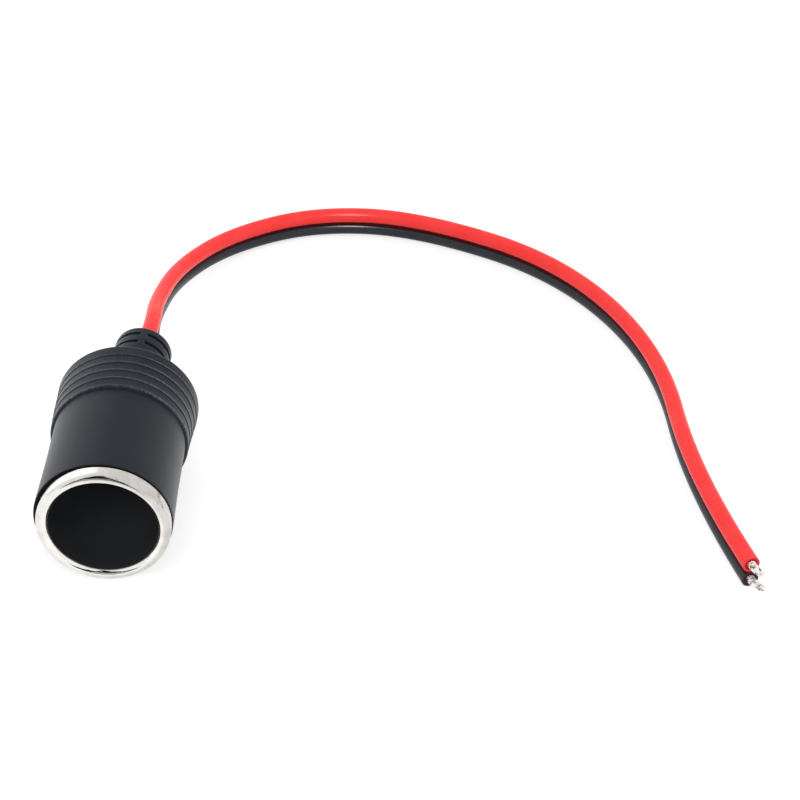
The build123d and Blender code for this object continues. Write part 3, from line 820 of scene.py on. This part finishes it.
strain_r = CORE_OFFSET + CORE_R + STRAIN_WALL
crests = COLLAR_FRONT + RIDGE_PITCH * np.arange(RIDGE_COUNT) + RIDGE_WIDTH / 2
crest_sides = np.concatenate([crests - RIDGE_WIDTH / 2, crests + RIDGE_CREST / 2])
slope = (RIDGE_WIDTH - RIDGE_CREST) / 2
collar_along = np.unique(np.concatenate([
    np.add.outer(crest_sides, np.linspace(0, slope, RIDGE_SIDE_ROWS)).ravel(),
    np.add.outer(crests[:-1], VALLEY_PLACES * RIDGE_PITCH).ravel(),
    np.linspace(crests[-1] + RIDGE_CREST / 2, COLLAR_BACK - COLLAR_REAR_R, COLLAR_BACK_ROWS),
]))
collar_along = collar_along[collar_along > COLLAR_FRONT + FRONT_RAMP]
collar_share = (collar_along - COLLAR_FRONT) / (COLLAR_BACK - COLLAR_FRONT)
cone = barrel_r + COLLAR_STEP + COLLAR_FLARE * collar_share
from_crest = np.abs(collar_along[:, None] - crests[None, :]).min(axis=1)
valley = smooth_step(from_crest, RIDGE_CREST / 2, RIDGE_WIDTH / 2) * (collar_along < crests[-1])
share = np.linspace(0, 1, EDGE_STEPS)
rear_r = cone[-1] - COLLAR_REAR_R
collar_profile = np.concatenate([
    np.stack([barrel_r + COLLAR_STEP * (1 - (1 - share) ** 2), COLLAR_FRONT + FRONT_RAMP * share], axis=-1),
    np.stack([cone - RIDGE_DEPTH * valley, collar_along], axis=-1),
    arc((rear_r, COLLAR_BACK - COLLAR_REAR_R), COLLAR_REAR_R, 0, 90, EDGE_STEPS),
    [(rear_r - SHOULDER_LAND, COLLAR_BACK), (strain_r + SHOULDER_LEDGE, STRAIN_START)],
])
print("ridges at", np.round(crests / MM, 2), "mm from the mouth")

# %% Rows of the strain relief
STRAIN_END_R = 0.7 * MM
STRAIN_END_STEPS = 7
STRAIN_END_ROWS = 8
SLOT_WIDTH = 0.85 * MM
SLOT_RING = 1.95 * MM
SLOT_END_RING = 2.0 * MM
SLOT_FLOOR_WALL = 0.55 * MM
SLOT_WEB = 1.5 * MM
SLOT_EDGE = 0.16 * MM
SLOT_EDGE_ROWS = 6
SLOT_COUNT = 4
BOOT_COLUMNS = 288


def soft_groove(place, start, end, edge):
    """1 between start and end, 0 outside, with smooth sides as wide as the edge."""
    return smooth_step(place, start, start + edge) * (1 - smooth_step(place, end - edge, end))


slot_depth = STRAIN_WALL - SLOT_FLOOR_WALL
slot_ends = strain_end - SLOT_END_RING - (SLOT_WIDTH + SLOT_RING) * np.arange(SLOT_COUNT)
slot_starts = slot_ends - SLOT_WIDTH
slot_sides = np.concatenate([slot_starts, slot_ends - SLOT_EDGE])
relief_end = strain_end - STRAIN_END_R
relief_along = np.unique(np.concatenate([
    [STRAIN_START],
    np.add.outer(slot_sides, np.linspace(0, SLOT_EDGE, SLOT_EDGE_ROWS)).ravel(),
    np.linspace(slot_starts[0], relief_end, STRAIN_END_ROWS),
]))
turn = np.linspace(0, 2 * np.pi, BOOT_COLUMNS, endpoint=False)
beside_web = smooth_step(strain_r * np.abs(np.cos(turn)), SLOT_WEB / 2, SLOT_WEB / 2 + SLOT_EDGE)
in_slot = sum(soft_groove(relief_along, start, end, SLOT_EDGE) for start, end in zip(slot_starts, slot_ends))
relief_radius = strain_r - slot_depth * np.multiply.outer(in_slot, beside_web)
end_rounding = arc((strain_r - STRAIN_END_R, relief_end), STRAIN_END_R, 0, 90, STRAIN_END_STEPS)[1:]
print("slots at", np.round(slot_starts / MM, 2), "mm along the middle line")

# %% Rows of the hole and the room inside
LEAD_CLEARANCE = 0.1 * MM
LEAD_WEB = 1.6 * MM
BOOT_CLEARANCE = 0.05 * MM
CHAMBER_STEP = 37.0 * MM
CHAMBER_END = 43.0 * MM
CHAMBER_R = 10.7 * MM
NECK_R = 6.204 * MM
HOLE_ROWS = 10
TINY = 1e-6

# outline of the hole: two circles and the bar between them, as a radius at each angle
hole_r = CORE_R + LEAD_CLEARANCE
circles = CORE_OFFSET * np.abs(np.sin(turn)) + np.sqrt(hole_r**2 - (CORE_OFFSET * np.cos(turn)) ** 2)
bar_side = LEAD_WEB / 2 / np.maximum(np.abs(np.cos(turn)), TINY)
bar_end = CORE_OFFSET / np.maximum(np.abs(np.sin(turn)), TINY)
hole_radius = np.maximum(circles, np.minimum(bar_side, bar_end))

inner_room = np.array([
    (NECK_R, CHAMBER_END),
    (NECK_R, CHAMBER_STEP),
    (CHAMBER_R, CHAMBER_STEP),
    (CHAMBER_R, BARREL_REAR),
    (spigot_r + BOOT_CLEARANCE, BARREL_REAR),
    (spigot_r + BOOT_CLEARANCE, COLLAR_FRONT),
])


def even_rows(profile):
    """Rows whose radius is the same all round."""
    return np.repeat(profile[:, :1], BOOT_COLUMNS, axis=1)


boot_along = np.concatenate([
    collar_profile[:, 1], relief_along, end_rounding[:, 1],
    np.linspace(strain_end, CHAMBER_END, HOLE_ROWS), inner_room[:, 1],
])
boot_radius = np.concatenate([
    even_rows(collar_profile), relief_radius, even_rows(end_rounding),
    np.repeat(hole_radius[None], HOLE_ROWS, axis=0), even_rows(inner_room),
])
print("boot rows", len(boot_along))

# %% [markdown]
# The boot is softer and more matt than the barrel. Its raised edges are painted pale as highlights, stronger
# on the sides than on top. The highlights could be painted on the mesh, but the places of the rings, the rim
# and the ledge are known, so a few smooth steps along the bore find them.

# %% Finish of the boot
CREST_HIGHLIGHT = (0.08 * MM, 0.24 * MM)
LAST_RING = (crests[-1] + 0.3 * MM, crests[-1] + 0.6 * MM)
FRONT_EDGE = (COLLAR_FRONT + 0.1 * MM, COLLAR_FRONT + 0.5 * MM)
RIM_START = (COLLAR_BACK - 0.6 * MM, COLLAR_BACK - 0.3 * MM)
RIM_END = (COLLAR_BACK, COLLAR_BACK + 0.2 * MM)
LEDGE_START = (STRAIN_START - 0.5 * MM, STRAIN_START - 0.2 * MM)
LEDGE_END = (STRAIN_START, STRAIN_START + 0.1 * MM)
MIDDLE_TO_SIDE = (2 * MM, 10 * MM)


def soft_boot(place):
    """Soft dark plastic: coarser grain than the barrel, a few scuffs, and painted highlights on the rings,
    most on the sides, and on the collar's rim, the ledge under the relief and the front edge."""
    body = body_place(place)
    right, along, _ = body.parts()
    grain = body.noise(2300.0, 3.0, 0.65)
    blotch = body.noise(150.0, 3.0)
    scuff = body.stretched(1.0, 3.0, 1.0).noise(520.0, 4.0, 0.6)
    from_crest = along.maths("PINGPONG", along - crests[0], RIDGE_PITCH / 2)
    to_side = 0.3 + 0.7 * right.maths("ABSOLUTE", right).step(*MIDDLE_TO_SIDE)
    # painted highlights: ring crests, stronger on the sides, then the rim, the ledge and the front edge
    rings = (1 - from_crest.step(*CREST_HIGHLIGHT)) * (1 - along.step(*LAST_RING)) * to_side
    rim = along.step(*RIM_START) * (1 - along.step(*RIM_END))
    ledge = along.step(*LEDGE_START) * (1 - along.step(*LEDGE_END))
    front = 1 - along.step(*FRONT_EDGE)
    painted_highlights = rings + 0.35 * rim + 0.5 * ledge + 0.15 * front
    colour = (0.5 * blotch + 0.5 * grain).step(0.35, 0.65).blend(grey(0.01, 0.5), grey(0.02, 0.5))
    worn = (scuff.step(0.6, 0.85) * 0.5).blend(colour, grey(0.03, 0.25))
    return {
        "Base Color": (painted_highlights * grain.step(0.2, 0.75)).blend(worn, grey(0.15, 0.15)),
        "Roughness": 0.46 + 0.14 * grain,
        "Specular IOR Level": 0.1,
        "Specular Tint": COOL_SHINE,
        "Sheen Weight": 0.55,
        "Sheen Roughness": 0.35,
        "Normal": (grain + 0.3 * blotch).relief(0.4, 0.00015),
    }


boot_plastic = finish("boot_soft_plastic", soft_boot)
print(boot_plastic.name, len(boot_plastic.node_tree.nodes), "nodes")

# %% Make the boot
BOOT_LEAN = 0.25 * MM
LEAN_OUT = (30 * MM, 39 * MM)
LEAN_BACK = (40 * MM, 46 * MM)
LEAN_BACK_SHARE = 1.4


def swept(along, radius):
    """Grid of the boot: at each row a ring of its own radius stands square to the middle line, which leans a
    little to the right at the collar's back."""
    right, forward, turned_by = along_middle(along)
    back = 1 - LEAN_BACK_SHARE * smooth_step(along, *LEAN_BACK)
    right = right + BOOT_LEAN * smooth_step(along, *LEAN_OUT) * back
    across = radius * np.cos(turn - ROLL)
    return on_body(
        right[:, None] + across * np.cos(turned_by)[:, None],
        forward[:, None] - across * np.sin(turned_by)[:, None],
        radius * np.sin(turn - ROLL),
    )


boot = add_closed_grid("boot_moulding", swept(boot_along, boot_radius), boot_plastic)
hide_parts("rear_boot")

# %% [markdown]
# ## The contact stack and the terminals
#
# Deep in the bore sit the centre contact and its rivet on an insulating disc; behind the shell are the tags,
# the solder and the stripped conductors. Their CAD shapes are right as they are, so they only get finishes.

# %% Finishes of the inner pieces
def metal(base, tarnish, roughness, cloud_scale):
    """Recipe for small metal pieces: clouded colour, uneven polish and faint marks."""
    def recipe(place):
        cloud = place.noise(cloud_scale, 4.0, 0.6)
        marks = place.stretched(1.0, 4.0, 1.0).noise(cloud_scale * 4, 2.0)
        return {
            "Base Color": cloud.step(0.4, 0.8).blend(base, tarnish),
            "Metallic": 1.0,
            "Roughness": roughness + 0.2 * marks,
            "Normal": (cloud + 0.3 * marks).relief(0.2, 0.0001),
        }
    return recipe


def pressed_board(place):
    """Brown insulating board: fibres and darker flecks."""
    fibre = place.stretched(1.0, 1.0, 7.0).noise(900.0, 4.0, 0.65)
    fleck = place.noise(2200.0, 2.0).step(0.6, 0.7)
    colour = fibre.step(0.3, 0.7).blend((0.16, 0.075, 0.032, 1), (0.24, 0.12, 0.055, 1))
    return {
        "Base Color": (fleck * 0.6).blend(colour, (0.08, 0.04, 0.02, 1)),
        "Roughness": 0.5 + 0.2 * fibre,
        "Normal": fibre.relief(0.3, 0.0001),
    }


INNER_FINISHES = {
    finish("pressed_brass", metal((0.72, 0.52, 0.24, 1), (0.42, 0.28, 0.12, 1), 0.22, 500.0)):
        ("centre_contact", "centre_rivet"),
    finish("tinned_tags", metal((0.72, 0.71, 0.68, 1), (0.5, 0.48, 0.45, 1), 0.3, 600.0)):
        ("centre_tag", "shell_tag", "tag_rivet"),
    finish("solder_beads", metal((0.66, 0.66, 0.65, 1), (0.42, 0.42, 0.42, 1), 0.2, 900.0)):
        ("centre_solder", "shell_solder"),
    finish("stranded_copper", metal((0.74, 0.36, 0.2, 1), (0.4, 0.17, 0.09, 1), 0.28, 1200.0)):
        ("red_conductor", "black_conductor"),
    finish("pressed_board", pressed_board): ("contact_insulator", "rear_washer"),
}
for material, names in INNER_FINISHES.items():
    for name in names:
        nodes[name].data.materials.clear()
        nodes[name].data.materials.append(material)
    print(material.name, "on", ", ".join(names))

# %% [markdown]
# ## Floor, backdrop and light
#
# The object lies on plain white paper under soft light. Rays from the camera and mirror-like rays see a white
# surround at strength 1, and see the paper lifted to white with a pale shadow on it. For all other rays the
# surround is dimmer and the paper is only paper, and three large soft lamps make up the rest of the light.
# A fourth, smaller lamp is kept to the lead, where it only draws the bright stripe on the bend.
# As in a studio, a dark card and a grey card stand in front of the mouth. Only shiny surfaces see them, and
# they draw the dark crescent on the rolled lip.

# %% World
AMBIENT = 0.69
WHITE = (1.0, 1.0, 1.0, 1.0)


def white_rays(tree):
    """1 on rays from the camera and on mirror-like and clear rays, which see all white; 0 on the others."""
    paths = Wire(tree).node("ShaderNodeLightPath").socket.node.outputs
    seen = Wire(tree, paths["Is Camera Ray"])
    for kind in ("Is Glossy Ray", "Is Transmission Ray"):
        seen = seen.maths("MAXIMUM", seen, Wire(tree, paths[kind]))
    return seen


world = bpy.data.worlds.new("surround")
world.use_nodes = True
bpy.context.scene.world = world
bpy.context.scene.view_settings.view_transform = "Standard"
background = world.node_tree.nodes["Background"]
background.inputs["Color"].default_value = WHITE
strength = AMBIENT + (1 - AMBIENT) * white_rays(world.node_tree)
world.node_tree.links.new(strength.socket, background.inputs["Strength"])
print("diffuse light of the surround", AMBIENT)

# %% Floor
FLOOR_HALF = 4.0
FLOOR_CORNERS = [(-1, -1), (1, -1), (1, 1), (-1, 1)]
PAPER_TONE = 0.9
LIFTED_TONE = 0.47
LIFT = 0.7


def add_sheet(name, corners, material):
    """A flat stage sheet from its corners."""
    mesh = bpy.data.meshes.new(name)
    mesh.from_pydata(corners, [], [tuple(range(len(corners)))])
    mesh.materials.append(material)
    sheet = bpy.data.objects.new(name, mesh)
    bpy.context.scene.collection.objects.link(sheet)
    return sheet


def white_paper(place):
    """Matt paper: pale in the light it gives back, darker but glowing for the rays that see all white."""
    lifted = white_rays(place.tree)
    return {
        "Base Color": lifted.blend(grey(PAPER_TONE), grey(LIFTED_TONE)),
        "Emission Color": lifted.blend(grey(0.0), WHITE),
        "Emission Strength": LIFT,
        "Roughness": 0.9,
        "Specular IOR Level": 0.0,
    }


floor_corners = [(FLOOR_HALF * right, FLOOR_HALF * back, 0) for right, back in FLOOR_CORNERS]
add_sheet("floor", floor_corners, finish("floor_paper", white_paper))
print("floor", 2 * FLOOR_HALF, "m wide")

# %% Lamps
LOOKED_AT = (0.055, 0.03, 0.01)


def add_lamp(name, place, size, power):
    """A round soft lamp that looks at the middle of the scene."""
    data = bpy.data.lights.new(name, "AREA")
    data.shape = "DISK"
    data.size = size
    data.energy = power
    lamp = bpy.data.objects.new(name, data)
    lamp.location = place
    away = np.array(place) - np.array(LOOKED_AT)
    flat = math.hypot(away[0], away[1])
    lamp.rotation_euler = (math.atan2(flat, away[2]), 0.0, math.atan2(away[0], -away[1]))
    bpy.context.scene.collection.objects.link(lamp)
    print(name, power, "W")
    return lamp


key_lamp = add_lamp("key_lamp", place=(-0.1, -0.6, 0.75), size=0.6, power=2.2)
key_lamp.visible_glossy = False
fill_lamp = add_lamp("fill_lamp", place=(0.7, 0.1, 0.6), size=0.6, power=1.4)
fill_lamp.visible_glossy = False
add_lamp("side_lamp", place=(-1.1, 0.9, 0.75), size=2.2, power=5.4)
lead_lamp = add_lamp("lead_lamp", place=(0.02, -0.86, 0.72), size=0.32, power=28.0)
lead_lamp.visible_diffuse = False
lead_only = bpy.data.collections.new("lead_only")
for core in cores.values():
    lead_only.objects.link(core)
lead_lamp.light_linking.receiver_collection = lead_only

# %% Cards in front of the mouth
DARK_SHAPE = [
    (-0.06, 0.0), (0.03, 0.0), (0.028, 0.06), (0.01, 0.12), (0.008, 0.3), (-0.03, 0.3), (-0.055, 0.1),
]
GREY_SHAPE = [(-0.042, 0.0), (0.008, 0.0), (0.008, 0.054), (-0.042, 0.054)]


def add_card(name, away, outline, tone):
    """An upright card of one grey, at one place along the body's length, seen by shiny surfaces only."""
    surface = finish(name + "_surface", lambda place: {"Base Color": grey(tone), "Specular IOR Level": 0.0})
    card = add_sheet(name, [(right, away, above) for right, above in outline], surface)
    card.visible_camera = False
    card.visible_diffuse = False
    card.visible_shadow = False
    card.visible_transmission = False
    print(name, len(outline), "corners")


add_card("dark_card", away=-0.115, outline=DARK_SHAPE, tone=0.005)
add_card("grey_card", away=-0.113, outline=GREY_SHAPE, tone=0.5)

# %% [markdown]
# ## Sizes
#
# The dressed object has to be as large as the CAD model.
